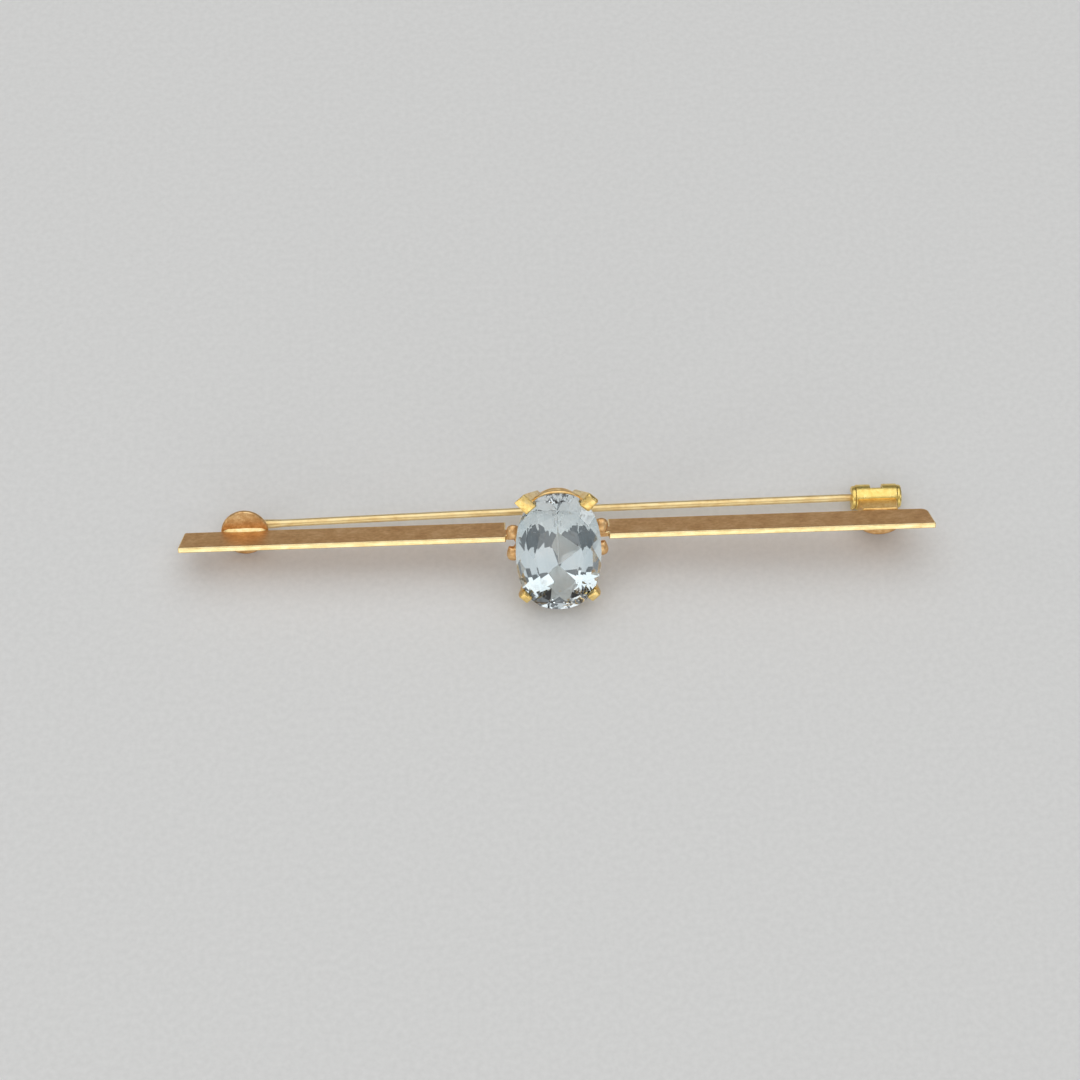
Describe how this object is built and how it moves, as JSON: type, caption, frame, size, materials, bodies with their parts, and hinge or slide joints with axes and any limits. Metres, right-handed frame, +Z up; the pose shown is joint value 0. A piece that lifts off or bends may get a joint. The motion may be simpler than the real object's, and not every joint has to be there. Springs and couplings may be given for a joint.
{
  "type": "bar brooch",
  "caption": "Thin gold bar brooch with a claw-set oval pale blue stone, shoulder beads, a hinged pin and a roller catch.",
  "frame": {"origin": "the middle of the brooch's box on the surface it lies on", "axes": "+X along the bar, from the hinge to the catch; +Z up from the surface; the face looks towards -Y and up"},
  "size_m": [0.054, 0.0094, 0.0088],
  "materials": {
    "gold": "satin gold, polished on its edges",
    "pin_gold": "polished pale gold",
    "catch_gold": "polished yellow gold",
    "stone": "polished facets"
  },
  "bodies": {
    "brooch": {"brooch_frame": "gold", "stone": "stone", "hinge_rivet": "gold"},
    "pin": {"pin_stem": "pin_gold"},
    "roller": {"catch_roller": "catch_gold"}
  },
  "joints": [
    {"name": "pin_hinge", "type": "hinge", "parent": "brooch", "child": "pin", "pos_m": [-0.02236, 0.00278, 0.00094], "axis": [-0.0126, 0.5937, 0.8046], "range_deg": [0, 100]},
    {"name": "roller_turn", "type": "hinge", "parent": "brooch", "child": "roller", "pos_m": [0.02339, 0.00375, 0.00094], "axis": [0.9999, 0, 0.0156], "range_deg": [0, 90]}
  ]
}
